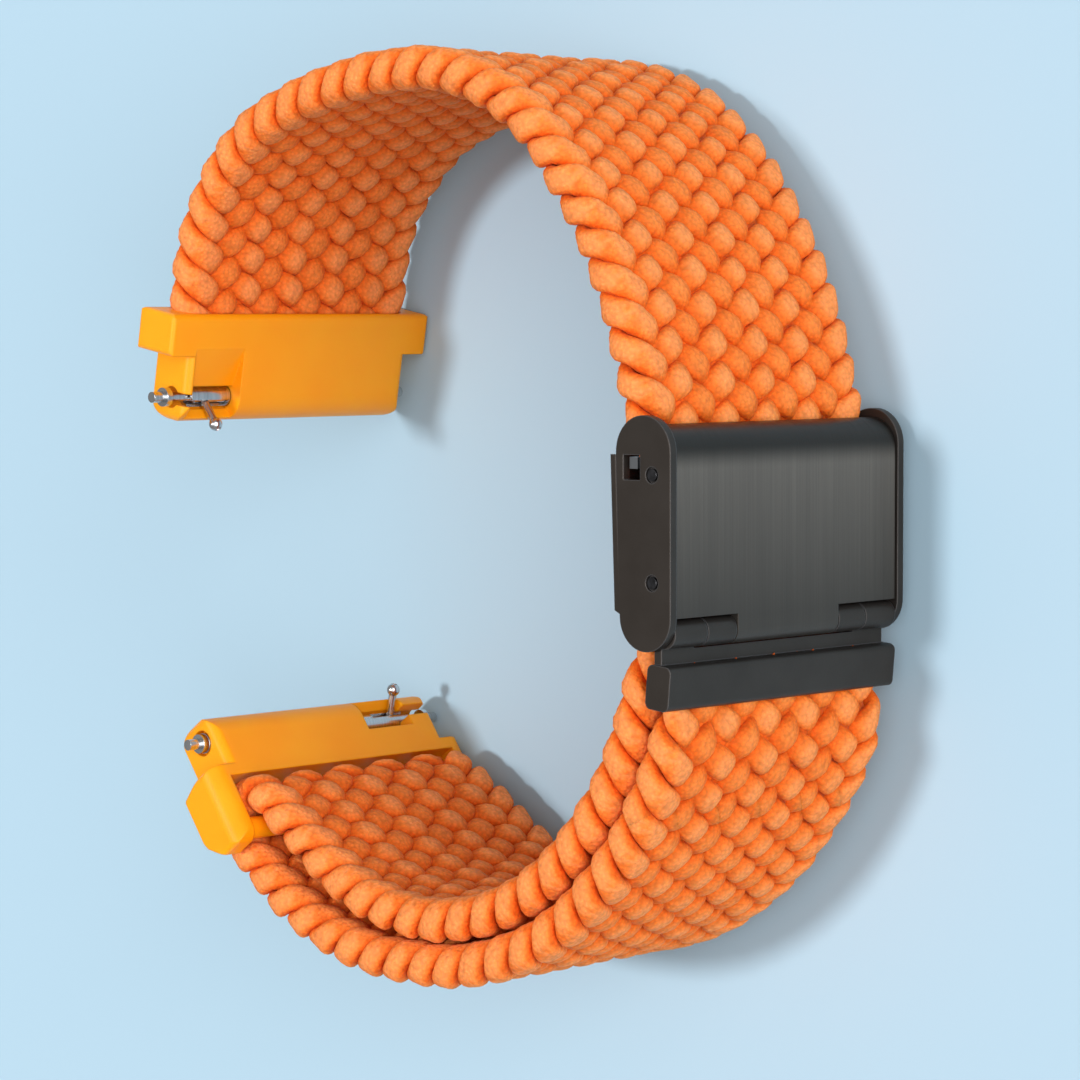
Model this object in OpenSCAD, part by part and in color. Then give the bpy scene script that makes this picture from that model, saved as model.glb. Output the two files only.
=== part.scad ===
// Braided nylon watch strap, closed in its small setting and laid on its side.
// X and Y span the plane of the loop, Z runs across the strap's width.
// The strap leaves the upper lug, goes over the top and down through the
// buckle, turns round the lower lug's bar and comes back to the end bar.

/* [Strap] */
// Width of the braid
strap_w = 21.9; // [20:0.1:22]
// Thickness of the braid
strap_t = 2.9; // [2.7:0.05:3]
// Radius of the braid's rounded edges
strap_edge_r = 1.2; // [0.8:0.1:1.3]
// Thickness of the braid where the buckle grips it
grip_t = 1.9; // [1.8:0.05:1.95]
// Lower end of the stretch that the buckle grips
grip_bottom = -6.8; // [-7:0.1:-6.6]
// Upper end of the stretch that the buckle grips
grip_top = 6.5; // [6.3:0.1:6.8]
// Length over which the braid swells to its full size
grip_ease = 2.5; // [2.3:0.1:2.7]
// Space between the two layers of the return run
layer_gap = 0.3; // [0.3:0.05:0.5]
// Length of strap set into the upper lug's moulding
moulded_l = 2; // [1:0.1:2.4]
// Thickness of the strap's end, pressed flat in the end bar
crimp_t = 1.2; // [1:0.05:1.3]
// Wall of the end bar beside the strap's end
end_side = 0.7; // [0.6:0.05:0.9]
// Length of the flexing tail below the end bar
tail_l = 6; // [3:0.5:8]

/* [Loop above the buckle] */
// Where the bend above the buckle starts
upper_start = 1.5; // [0:0.1:3]
// Radius of the long bend at the front
front_r = 37; // [34:0.5:42]
// Angle of the long bend at the front
front_a = 40; // [34:1:46]
// Radius at the crown
crown_r = 18; // [15:0.5:21]
// Radius of the flat run behind the crown
back_r = 40; // [32:1:48]
// Angle of the flat run behind the crown
back_a = 20; // [16:1:24]
// Radius of the shoulder over the upper lug
shoulder_r = 15; // [13:0.5:17]
// Outward lean of the upper lug
lug_tilt = 10; // [4:1:16]
// Straight run into the upper lug
upper_straight = 2.6; // [1:0.1:4]

/* [Loop below the buckle] */
// Where the bend below the buckle starts, under the buckle's middle
lower_start = 3; // [2.8:0.1:3.2]
// Radius of the bend under the buckle
heel_r = 25; // [24:0.5:26]
// Angle of the bend under the buckle
heel_a = 50; // [48:1:52]
// Radius at the bottom
bottom_r = 20; // [18:0.5:22]
// Radius of the bend up to the lower lug
rise_r = 18; // [17:0.5:19]
// Angle of the bend up to the lower lug
rise_a = 33; // [31:1:36]
// Straight run up to the lower lug's bar
lower_straight = 6.9; // [6:0.1:8]

/* [Lugs] */
// Width over the ears of each lug
ear_w = 25.5; // [24.5:0.1:27]
// Width of each lug's tongue
tongue_w = 21.6; // [20:0.1:22]
// Thickness of each lug
lug_t = 4; // [3.6:0.1:4.6]
// Length of the upper lug's crossbar
crossbar_l = 3.1; // [2.8:0.1:3.4]
// Length of the upper lug's tongue
upper_tongue_l = 5.1; // [4.8:0.1:5.6]
// Distance from the lower lug's bar to the shoulders of its tongue
lower_shoulder = 4.95; // [4.7:0.05:5.4]
// Distance from the lower lug's bar to the tip of its tongue
lower_tip = 9.5; // [9.2:0.1:10]
// Distance from the lower lug's bar outwards to the middle of its tongue
lower_shift = 1.1; // [0.9:0.05:1.3]
// Turn of the lower lug towards the wrist, from the strap's own direction
lower_turn = 21; // [10:1:24]
// Edge radius of the lower lug's ears on the side of the wrist
ear_edge_r = 1.4; // [1:0.1:1.5]
// Radius of the lower lug's bar, which the strap turns round
slot_bar_r = 0.8; // [0.7:0.05:0.9]
// Clearance between the bar and the strap's turn
turn_clear = 0.1; // [0.05:0.01:0.1]
// Clearance between the strap's turn and the lower lug
slot_clear = 0.3; // [0.3:0.05:0.4]
// Edge radius of the tongues' tips
tip_r = 1.9; // [1.6:0.05:1.95]
// Edge radius of the upper lug's side towards the strap
lug_edge_r = 0.5; // [0.3:0.05:0.6]
// Edge radius of the tongues' ends on the side of the wrist
end_edge_r = 0.7; // [0.4:0.1:0.8]
// Corner radius of the tongues, seen from the wrist
corner_r = 0.8; // [0.6:0.1:1.2]
// Corner radius of the ears, seen from the wrist
ear_corner_r = 0.4; // [0.2:0.05:0.6]

/* [Spring bars] */
// Radius of the barrel
barrel_r = 0.75; // [0.7:0.01:0.85]
// Wall of the barrel
barrel_wall = 0.22; // [0.15:0.01:0.24]
// Distance from the tongue's tip to the spring bar's axis
bar_inset = 1.8; // [1.7:0.05:1.9]
// Depth of the axis under the lug's inner face
bar_depth = 1.8; // [1.7:0.05:1.9]
// Radius of the two tips that enter the watch
tip_pin_r = 0.4; // [0.3:0.01:0.45]
// Length of each tip
tip_pin_l = 1; // [0.6:0.05:1.2]
// Radius of the collars behind the tips
collar_r = 0.7; // [0.6:0.01:0.74]
// Thickness of the collars
collar_l = 0.5; // [0.5:0.05:0.6]
// How far the sprung collar stands off the tongue
free_reach = 0.35; // [0.2:0.05:0.45]
// Radius of the plunger's thin neck
neck_r = 0.35; // [0.25:0.01:0.4]
// Distance from the tongue's end to the barrel's sprung end
barrel_inset = 1.4; // [1.3:0.1:1.5]
// Distance from the barrel's sprung end to the lever
lever_inset = 1.5; // [1.4:0.1:1.6]
// Length of the plunger's thick part behind the lever
plunger_l = 3.4; // [3:0.1:4]
// Length of the coil spring
spring_l = 7.5; // [6.5:0.1:8]
// Travel of the plunger
travel = 1.7; // [1:0.1:1.7]
// Length of the notch that bares the barrel
notch_l = 4.6; // [4.5:0.1:4.7]
// Distance from the end of the upper lug's tongue to its notch
upper_inset = 0.5; // [0.4:0.05:0.7]
// Distance from the end of the lower lug's tongue to its notch
lower_inset = 2.4; // [2.3:0.05:2.45]
// Reach of the upper notch's ramp from the axis towards the strap
upper_ramp = 3.9; // [3:0.1:4.2]
// Reach of the lower notch's ramp from the axis towards the strap
lower_ramp = 1.3; // [1.1:0.1:2]
// Distance from the axis to the notch's wall towards the tip
notch_tip = 0.9; // [0.85:0.01:1]
// Radius of the lever
lever_r = 0.3; // [0.25:0.01:0.32]
// Length of the lever from the axis
lever_l = 3.1; // [2.6:0.1:3.6]
// Lean of the lever towards the tongue's tip
lever_a = 42; // [38:1:44]
// Radius of the lever's knob
knob_r = 0.5; // [0.45:0.01:0.55]
// Turns of the coil spring
coils = 11; // [8:1:14]
// Radius of the spring's wire
wire_r = 0.09; // [0.07:0.005:0.1]

/* [Buckle] */
// Room between the free braid and each cheek
cheek_room = 0.25; // [0.2:0.05:0.4]
// Thickness of the cheeks
cheek_t = 0.6; // [0.5:0.05:0.6]
// Radius of the cheeks' upper ends
cheek_r = 2.36; // [2.3:0.02:2.4]
// Radius of the cheeks' lower ends
cheek_foot_r = 2.2; // [2.1:0.05:2.3]
// Top of the cheeks above the buckle's middle
cheek_top = 8.45; // [8.2:0.05:8.8]
// Bottom of the cheeks below the buckle's middle
cheek_bottom = 6.7; // [6.6:0.05:6.8]
// Thickness of the base plate
base_t = 0.45; // [0.4:0.05:0.5]
// Depth of the base plate's back at its lower edge
base_low_y = 4.85; // [4.8:0.05:4.9]
// Depth of the base plate's back at its upper edge
base_high_y = 5.2; // [5.1:0.05:5.3]
// Height of the lower edge of the base plate
base_bottom = -4.15; // [-4.4:0.05:-4]
// Depth of the strap's middle behind the cheeks' front edge
strap_depth = 3.3; // [3.25:0.01:3.35]
// Height of the upper edge of the base plate
base_top = 5.9; // [5.6:0.1:6]
// Radius of the two guide pins
guide_r = 0.4; // [0.35:0.01:0.42]
// Width of the countersink round the guide pins' ends
guide_sink = 0.13; // [0.1:0.01:0.2]
// Depth of the guide pins behind the front edge
guide_depth = 1.6; // [1.55:0.01:1.65]
// Height of the upper guide pin
guide_upper = 4.65; // [4.6:0.05:4.7]
// Height of the lower guide pin
guide_lower = -2.25; // [-2.5:0.05:-2.1]
// Length of the catch windows along the strap
window_l = 1.6; // [1.5:0.05:1.7]
// Width of the catch windows
window_w = 1.45; // [1.3:0.05:1.5]
// Depth of the catch windows' middle behind the front edge
window_depth = 3.35; // [3.3:0.05:3.4]
// Height of the catch windows' middle
window_height = 5.1; // [5.05:0.05:5.15]

/* [Cover] */
// Thickness of the cover plate
cover_t = 0.65; // [0.5:0.05:0.7]
// Set-back of the cover behind the cheeks' front edge
cover_set = 0.15; // [0.1:0.01:0.2]
// Room between the braid's squeezed edges and each cheek
edge_room = 0.6; // [0.6:0.05:0.8]
// Clearance between the cover and each cheek
cover_clear = 0.12; // [0.1:0.01:0.2]
// Outer radius of the cover's rounded top
cover_curl_r = 2.1; // [1.9:0.05:2.15]
// Height of the start of the cover's rounded top
cover_bend = 5.75; // [5.7:0.05:5.8]
// Height of the hinge's axis
hinge_x = -5.55; // [-5.6:0.05:-5.5]
// Outer radius of the hinge's knuckles
knuckle_r = 0.95; // [0.85:0.01:1]
// Radius of the hinge pin
hinge_r = 0.4; // [0.3:0.01:0.45]
// Length of each of the end bar's knuckles, with its clearance
knuckle_l = 3.2; // [2.8:0.1:3.6]
// Length of each bush between two knuckles, with its clearance
bush_l = 2.9; // [2.6:0.1:3.2]
// Clearance between neighbouring knuckles
knuckle_gap = 0.1; // [0.08:0.01:0.2]
// Depth of the hinge pin's seats in the cheeks
hinge_seat = 0.3; // [0.2:0.05:0.4]
// Clearance round pins that turn
pin_clear = 0.05; // [0.02:0.005:0.08]
// Clearance between the clamp pad's teeth and the strap
tooth_clear = 0.12; // [0.1:0.01:0.3]
// Number of the clamp pad's teeth
teeth = 6; // [4:1:8]
// Thickness of the catch spring
catch_t = 0.35; // [0.3:0.05:0.35]
// Reach of the catch spring's nibs into the windows
nib_l = 0.3; // [0.2:0.05:0.4]

/* [End bar] */
// Height of the end bar
end_h = 2.9; // [2.8:0.05:3]
// Depth of the end bar
end_d = 2; // [1.9:0.05:2.05]
// Set-back of the end bar's ends from the cheeks' outer faces
end_inset = 0.4; // [0.2:0.05:0.5]
// Height of the end bar's middle
end_x = -9.0; // [-9.2:0.05:-8.95]
// Depth of the end bar's middle behind the buckle's front
end_y = 1.45; // [1.4:0.01:1.5]
// Lean of the end bar along the strap
end_lean = 5.5; // [4:0.5:8]
// Angle along the strap's bend from its start to the full thickness of the tail
tail_a = 19; // [18.5:0.5:21]
// Thickness of the leaf that joins the end bar to its knuckles
leaf_t = 0.6; // [0.5:0.05:0.65]
// Wall of the end bar above the strap's end
end_wall = 0.65; // [0.5:0.05:0.8]
// Corner radius of the end bar
end_r = 0.45; // [0.3:0.05:0.55]

/* [Hidden] */
$fn = 96;
// Overshoot of a cut past the face it opens
past = 1;

orange = "#e86a25";
yellow = "#ff9c22";
black_steel = "#2e2e30";
steel = "#c8ccd0";

// A path starts at [x, y, heading]; its runs are [length] or [radius, angle],
// where a positive angle turns left.
function after(p, s) = len(s) == 1
    ? [p[0] + s[0] * cos(p[2]), p[1] + s[0] * sin(p[2]), p[2]]
    : let (k = s[0] * sign(s[1]), h = p[2] + s[1])
      [p[0] + k * (sin(h) - sin(p[2])), p[1] - k * (cos(h) - cos(p[2])), h];
function end_of(p, path, i = 0) = i == len(path) ? p : end_of(after(p, path[i]), path, i + 1);

// The long run upwards, from the buckle to the upper lug
upper_path = [[front_r, front_a], [crown_r, 90 - front_a], [back_r, back_a],
    [shoulder_r, 90 - back_a - lug_tilt], [upper_straight]];
upper_from = [upper_start, strap_depth, 0];
upper_to = end_of(upper_from, upper_path);
crown = end_of(upper_from, [for (i = [0, 1]) upper_path[i]]);

// The inner layer downwards, from the buckle to the lower lug's bar
lower_path = [[heel_r, -heel_a], [bottom_r, heel_a - 90], [rise_r, -rise_a], [lower_straight]];
lower_from = [-lower_start, strap_depth, 180];
lower_to = end_of(lower_from, lower_path);
bottom = end_of(lower_from, [for (i = [0, 1]) lower_path[i]]);

// The outer layer, one strap thickness and a gap further out, which parts
// from the inner one on the rise, so that the bar fits between them
layer_step = strap_t + layer_gap;
turn_r = slot_bar_r + turn_clear + strap_t / 2;
part_l = (2 * turn_r - layer_step) / sin(rise_a);
heel_centre = [-lower_start, strap_depth + heel_r];
outer_r = heel_r + layer_step;
function on_outer(a) = [heel_centre[0] - outer_r * sin(a), heel_centre[1] - outer_r * cos(a), 180 - a];
end_at = [end_x, end_y, 180 - end_lean];
tail_end_a = tail_a + tail_l / outer_r * 180 / PI;
outer_path = [[outer_r, tail_end_a - heel_a], [bottom_r + layer_step, heel_a - 90], [part_l],
    [rise_r + layer_step, -rise_a], [lower_straight - part_l * cos(rise_a)]];

// The lower lug turns about the middle of the strap's turn
lug_axis = [lower_to[0] - turn_r * sin(lower_to[2]), lower_to[1] + turn_r * cos(lower_to[2])];
lower_heading = lower_to[2] - lower_turn;
slot_r = turn_r + strap_t / 2 + slot_clear;
slot_w = strap_w + 0.5;
upper_tip = crossbar_l + upper_tongue_l;

// Outermost points of the object, for its origin
top_x = crown[0] + strap_t / 2;
bottom_x = bottom[0] - layer_step - strap_t / 2;
back_y = upper_to[1] + (upper_tip - tip_r) * sin(upper_to[2]) + (lug_t / 2 - tip_r) * cos(lug_tilt) + tip_r;

module placed() translate([-(top_x + bottom_x) / 2, -back_y / 2, ear_w / 2]) children();
module at(p) translate([p[0], p[1], 0]) rotate([0, 0, p[2]]) children();
// Along the lug in X, away from the wrist in Y
module upper_frame() at(upper_to) mirror([0, 1, 0]) children();
module lower_frame() at([lug_axis[0], lug_axis[1], lower_heading]) children();

// Rectangle whose corners have one radius at its start and another at its end
module round_rect(x0, x1, y0, y1, r0, r1) {
    xm = (x0 + x1) / 2;
    translate([x0 + r0, y0]) square([x1 - r1 - x0 - r0, y1 - y0]);
    translate([x0, y0 + r0]) square([xm - x0, y1 - y0 - 2 * r0]);
    translate([xm, y0 + r1]) square([x1 - xm, y1 - y0 - 2 * r1]);
    for (y = [y0 + r0, y1 - r0]) translate([x0 + r0, y]) circle(r0);
    for (y = [y0 + r1, y1 - r1]) translate([x1 - r1, y]) circle(r1);
}
module slab(z0, z1) translate([0, 0, z0]) linear_extrude(z1 - z0) children();
module wide(w) slab(-w / 2, w / 2) children();
module rod(r, z0, z1) translate([0, 0, z0]) cylinder(r = r, h = z1 - z0);
// Extrudes an outline drawn in Y and Z along X
module along(x0, x1) translate([x0, 0, 0]) rotate([90, 0, 90]) linear_extrude(x1 - x0) children();
module both_sides() for (s = [0, 1]) mirror([0, 0, s]) children();

// Widths over and inside the buckle and the end bar
cheek_in = strap_w / 2 + cheek_room;
buckle_w = 2 * (cheek_in + cheek_t);
grip_w = 2 * (cheek_in - edge_room);
end_w = buckle_w - 2 * end_inset;
crimp_w = end_w - 2 * end_side - 0.2;

// Corner points of the strap's section, t thick in X and w wide in Y
section_n = 12;
function strap_corner(i, t, w) = let (q = floor(i / 3), a = 90 * q + 45 * (i % 3),
        r = min(strap_edge_r, t / 2 - 0.05), sx = (q == 0 || q == 3) ? 1 : -1, sy = q < 2 ? 1 : -1)
    [sx * (t / 2 - r) + r * cos(a), sy * (w / 2 - r) + r * sin(a)];
module strap_section() polygon([for (i = [0:section_n - 1]) strap_corner(i, strap_t, strap_w)]);

// Stations [x, y, heading] along a path, close together on its bends
bend_step = 5;
function stations(p, path, i = 0) = i == len(path) ? [p] :
    let (s = path[i], n = len(s) == 1 ? 1 : ceil(abs(s[1]) / (s[0] < 5 ? 2 * bend_step : bend_step)))
    concat([for (j = [0:n - 1]) after(p, len(s) == 1 ? [s[0] * j / n] : [s[0], s[1] * j / n])],
        stations(after(p, s), path, i + 1));
function backwards(list) = [for (i = [len(list) - 1:-1:0]) let (q = list[i]) [q[0], q[1], q[2] + 180]];
function without_last(list) = [for (i = [0:len(list) - 2]) list[i]];
// How hard the buckle squeezes the strap at a station, from 0 to 1
function grip(q) = q[1] > strap_depth + strap_t ? 0 :
    let (s = 1 - min(1, max(0, q[0] - grip_top, grip_bottom - q[0]) / grip_ease)) s * s * (3 - 2 * s);
function ring(q, t, w) = [for (i = [0:section_n - 1]) let (c = strap_corner(i, t, w))
    [q[0] - c[0] * sin(q[2]), q[1] + c[0] * cos(q[2]), c[1]]];
function strap_ring(q) = let (g = grip(q))
    ring(q, strap_t + g * (grip_t - strap_t), strap_w + g * (grip_w - strap_w));

// Closed skin over a row of rings, each of the same number of points
module skin(rings) {
    n = len(rings[0]);
    m = len(rings) - 1;
    polyhedron([for (g = rings) each g], concat(
        [[for (j = [0:n - 1]) j]], [[for (j = [n - 1:-1:0]) m * n + j]],
        [for (i = [0:m - 1], j = [0:n - 1]) let (k = (j + 1) % n)
            each [[i * n + j, (i + 1) * n + j, (i + 1) * n + k], [i * n + j, (i + 1) * n + k, i * n + k]]]));
}

// From inside the upper lug, over the crown and through the buckle, round
// the lower lug's bar and back to the tail
module strap_band() color(orange) placed() skin([for (q = concat(
    without_last(backwards(stations(upper_from, concat(upper_path, [[moulded_l]])))),
    [[upper_start, strap_depth, 180]],
    without_last(stations(lower_from, concat(lower_path, [[turn_r, 180]]))),
    backwards(stations(on_outer(tail_end_a), outer_path)))) strap_ring(q)]);

// The flexing end, pressed flat where the end bar holds it
module strap_tail() color(orange) placed() skin(concat(
    [for (x = [end_wall - end_h / 2, end_h / 2]) ring(after(end_at, [x]), crimp_t, crimp_w)],
    [for (q = stations(on_outer(tail_a), [[outer_r, tail_a - tail_end_a]])) ring(q, strap_t, strap_w)]));

// Part of a lug, w wide from back to tip, whose side outline is the child:
// corner radius r seen from the wrist, edge radius edge on the wrist's side
outer_edge_r = 0.3;
module lug_part(w, back, tip, y0, y1, r, edge) intersection() {
    wide(w) children();
    rotate([90, 0, 0]) slab(-y1 - past, past - y0) round_rect(back, tip, -w / 2, w / 2, r, r);
    along(back, tip) round_rect(y0, y1, -w / 2, w / 2, edge, outer_edge_r);
}

// What a spring bar needs in its tongue: a bore with a recess for the fixed
// collar, the notch that bares the barrel and frees the lever, a ramp for a
// fingernail, and the slit that the plunger's neck shows through
bore_r = barrel_r + pin_clear;
slit_r = neck_r + 0.12;
ramp_drop = 1;
notch_wall = (notch_tip * cos(lever_a) - lever_r - 0.1) / sin(lever_a);
module bar_cuts(inset, ramp) {
    notch_out = tongue_w / 2 - inset;
    out_y = -bar_depth - past;
    rod(bore_r, -tongue_w / 2 - past, tongue_w / 2 + past);
    rod(bore_r + 0.15, -tongue_w / 2 - past, -tongue_w / 2 + 0.6);
    slab(notch_out - notch_l, notch_out) polygon([[-bore_r - 0.1, 0], [-bore_r - 0.1, ramp_drop - bar_depth],
        [-ramp, -bar_depth], [-ramp, out_y], [notch_tip - (out_y + notch_wall) * tan(lever_a), out_y],
        [notch_tip, -notch_wall], [notch_tip, 0]]);
    translate([-slit_r, out_y, notch_out - 0.1]) cube([2 * slit_r, -out_y, inset + past]);
}

module upper_lug() color(yellow) placed() upper_frame() difference() {
    union() {
        y = lug_t / 2;
        lug_part(ear_w, 0, crossbar_l, -y, y, ear_corner_r, outer_edge_r)
            round_rect(0, upper_tip, -y, y, lug_edge_r, tip_r);
        lug_part(tongue_w, 0, upper_tip, -y, y, corner_r, end_edge_r)
            round_rect(0, upper_tip, -y, y, lug_edge_r, tip_r);
    }
    along(-past, moulded_l) strap_section();
    upper_bar_frame() bar_cuts(upper_inset, upper_ramp);
}

// Ears, arms and bar of the lower lug, with the slot that the strap turns in
wrist_y = lower_shift - lug_t / 2;
arm_back = slot_bar_r + 0.3;
arm_out = wrist_y + lug_t + 0.15;
arm_r = 1;
module lower_lug() color(yellow) placed() lower_frame() difference() {
    union() {
        difference() {
            union() {
                lug_part(ear_w, -arm_back, lower_shoulder, wrist_y, arm_out, ear_corner_r, ear_edge_r)
                    arm_outline();
                lug_part(tongue_w, 0, lower_tip, wrist_y, wrist_y + lug_t, corner_r, end_edge_r)
                    round_rect(0, lower_tip, wrist_y, wrist_y + lug_t, outer_edge_r, tip_r);
            }
            rod(slot_r, -slot_w / 2, slot_w / 2);
            translate([-2 * slot_r, -2 * slot_r, -slot_w / 2]) cube([2 * slot_r, 4 * slot_r, slot_w]);
        }
        rod(slot_bar_r, -slot_w / 2 - 0.5, slot_w / 2 + 0.5);
    }
    lower_bar_frame() bar_cuts(lower_inset, lower_ramp);
}
// Side outline of the ears and arms: flat towards the wrist, humped outwards
module arm_outline() {
    translate([arm_r - arm_back, wrist_y + arm_r]) circle(arm_r);
    polygon([[arm_r - arm_back, wrist_y], [lower_shoulder, wrist_y], [lower_shoulder, wrist_y + 1.6],
        [lower_shoulder - 0.75, arm_out - 0.3], [lower_shoulder - 1.1, arm_out], [1.1, arm_out],
        [0.1, arm_out - 0.4], [-arm_back, arm_out - 1.6], [-arm_back, wrist_y + arm_r]]);
}

// The spring bars: the sprung end points to +Z in this frame
module upper_bar_frame() translate([upper_tip - bar_inset, bar_depth - lug_t / 2, 0]) children();
module lower_bar_frame() translate([lower_tip - bar_inset, wrist_y + bar_depth, 0])
    mirror([0, 0, 1]) children();
module upper_bar() placed() upper_frame() upper_bar_frame() children();
module lower_bar() placed() lower_frame() lower_bar_frame() children();

barrel_out = tongue_w / 2 - barrel_inset;
barrel_in = -tongue_w / 2 + 0.1;
core_r = barrel_r - barrel_wall - pin_clear;
lever_z = barrel_out - lever_inset;
seat_z = lever_z - plunger_l;
plug_z = seat_z - spring_l;
collar_z = tongue_w / 2 + free_reach;
fixed_collar_z = -tongue_w / 2 + 0.1 - collar_l;

module barrel() color(steel) difference() {
    rod(barrel_r, barrel_in, barrel_out);
    rod(barrel_r - barrel_wall, barrel_in - past, barrel_out + past);
    rotate([0, 0, lever_a]) slab(lever_z - travel - lever_r - 0.1, barrel_out + past)
        translate([-lever_r - 0.06, -2 * barrel_r]) square([2 * lever_r + 0.12, 2 * barrel_r]);
}
module fixed_tip() color(steel) {
    rod(core_r + pin_clear, barrel_in, plug_z);
    rod(collar_r, fixed_collar_z, barrel_in);
    rod(tip_pin_r, fixed_collar_z - tip_pin_l, barrel_in);
}
module plunger() color(steel) difference() {
    union() {
        rod(core_r, seat_z, lever_z + 0.9);
        rod(neck_r, lever_z, collar_z + collar_l);
        rod(collar_r, collar_z, collar_z + collar_l);
        rod(tip_pin_r, collar_z, collar_z + collar_l + tip_pin_l);
    }
    translate([0, 0, lever_z]) lever_axis() rod(lever_foot_r, -past, 2 * past);
}
// Along the lever, out of the notch and towards the tongue's tip
lever_foot_r = lever_r - 0.1;
module lever_axis() rotate([0, 0, lever_a]) rotate([90, 0, 0]) children();
module lever() color(steel) translate([0, 0, lever_z]) lever_axis() difference() {
    union() {
        rod(lever_foot_r, -core_r + 0.05, lever_l - knob_r);
        rod(lever_r, core_r + 0.05, lever_l - knob_r);
        translate([0, 0, lever_l - knob_r]) sphere(knob_r, $fn = 32);
    }
    translate([0, 0, lever_l]) sphere(knob_r / 2, $fn = 24);
}
// Coil spring from the plug to the plunger's seat
module spring() color(steel) {
    steps = 8 * coils;
    turn = core_r - wire_r;
    rise = (seat_z - plug_z - 2 * wire_r) / steps;
    skin([for (i = [0:steps]) [for (j = [0:5]) let (a = 45 * i, b = -60 * j, r = turn + wire_r * cos(b))
        [r * cos(a), r * sin(a), plug_z + wire_r + rise * i + wire_r * sin(b)]]]);
}

module upper_barrel() upper_bar() barrel();
module upper_fixed_tip() upper_bar() fixed_tip();
module upper_plunger() upper_bar() plunger();
module upper_lever() upper_bar() lever();
module upper_spring() upper_bar() spring();
module lower_barrel() lower_bar() barrel();
module lower_fixed_tip() lower_bar() fixed_tip();
module lower_plunger() lower_bar() plunger();
module lower_lever() lower_bar() lever();
module lower_spring() lower_bar() spring();

// Folded frame: two cheeks and the base plate behind the strap
hinge_y = cover_set + knuckle_r;
knuckle_z = cheek_in - knuckle_l;
cover_knuckle = knuckle_z - bush_l;
module cheek_outline() {
    top = cheek_top - cheek_r;
    foot = cheek_foot_r - cheek_bottom;
    lean = 2 * atan((cheek_r - cheek_foot_r) / (top - foot));
    translate([top, cheek_r]) circle(cheek_r);
    translate([foot, cheek_foot_r]) circle(cheek_foot_r);
    polygon([[foot, 0], [top, 0], [top - cheek_r * sin(lean), cheek_r * (1 + cos(lean))],
        [foot - cheek_foot_r * sin(lean), cheek_foot_r * (1 + cos(lean))]]);
}
module base_outline() polygon([[base_top, base_high_y - base_t], [base_top, base_high_y],
    [base_bottom, base_low_y], [base_bottom - base_t / 2, base_low_y - base_t]]);
module buckle_frame() color(black_steel) placed() difference() {
    union() {
        both_sides() slab(cheek_in, buckle_w / 2) cheek_outline();
        wide(buckle_w) base_outline();
    }
    for (x = [guide_upper, guide_lower]) translate([x, guide_depth, 0]) {
        rod(guide_r, -buckle_w, buckle_w);
        both_sides() rod(guide_r + guide_sink, buckle_w / 2 - cheek_t / 3, buckle_w);
    }
    hinge_at() rod(hinge_r, -cheek_in - hinge_seat, cheek_in + hinge_seat);
    translate([window_height - window_l / 2, window_depth - window_w / 2, -buckle_w])
        cube([window_l, window_w, 2 * buckle_w]);
}
module guide_pin(x) color(steel) placed() translate([x, guide_depth, 0])
    rod(guide_r, -buckle_w / 2, buckle_w / 2);
module upper_guide_pin() guide_pin(guide_upper);
module lower_guide_pin() guide_pin(guide_lower);

// The hinge carries, from the middle outwards, the cover's own knuckle, two
// fixed bushes and the end bar's knuckles
module hinge_at() translate([hinge_x, hinge_y, 0]) children();
module hinge_pin() color(steel) placed() hinge_at()
    rod(hinge_r, -cheek_in - hinge_seat, cheek_in + hinge_seat);
module bush() color(black_steel) placed() hinge_at() difference() {
    rod(knuckle_r, cover_knuckle + knuckle_gap, knuckle_z - knuckle_gap / 2);
    rod(hinge_r, 0, buckle_w);
}
module near_bush() bush();
module far_bush() translate([0, 0, ear_w]) mirror([0, 0, 1]) bush();

// Cover plate: rounded top, flat front and a rolled hinge knuckle between
// the two notches
cover_w = 2 * (cheek_in - cover_clear);
cover_back = cover_set + cover_t;
notch_x = hinge_x + knuckle_r + knuckle_gap;
module cover_outline() {
    translate([hinge_x, cover_set]) square([cover_bend - hinge_x, cover_t]);
    translate([cover_bend, cover_set + cover_curl_r]) intersection() {
        difference() {
            circle(cover_curl_r);
            circle(cover_curl_r - cover_t);
        }
        translate([0, -cover_curl_r]) square([cover_curl_r, cover_curl_r]);
    }
}
module buckle_cover() color(black_steel) placed() difference() {
    union() {
        wide(cover_w) cover_outline();
        hinge_at() rod(knuckle_r, -cover_knuckle, cover_knuckle);
    }
    hinge_at() rod(hinge_r + pin_clear, -buckle_w, buckle_w);
    both_sides() translate([hinge_x - knuckle_r - past, -past, cover_knuckle])
        cube([notch_x - hinge_x + knuckle_r + past, cover_back + 2 * past, cover_w / 2]);
}

// Toothed pad behind the cover, which presses the strap between the pins
pad_y = strap_depth - grip_t / 2 - tooth_clear;
tooth_h = 0.5;
module clamp_pad() color(steel) placed() wide(grip_w - 1.3) {
    x0 = guide_lower + guide_r + 0.3;
    x1 = guide_upper - guide_r - 0.3;
    pitch = (x1 - x0) / teeth;
    polygon(concat([[x0, cover_back]],
        [for (i = [0:teeth - 1]) each [[x0 + i * pitch, pad_y - tooth_h], [x0 + (i + 0.5) * pitch, pad_y]]],
        [[x1, pad_y - tooth_h], [x1, cover_back]]));
}

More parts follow.
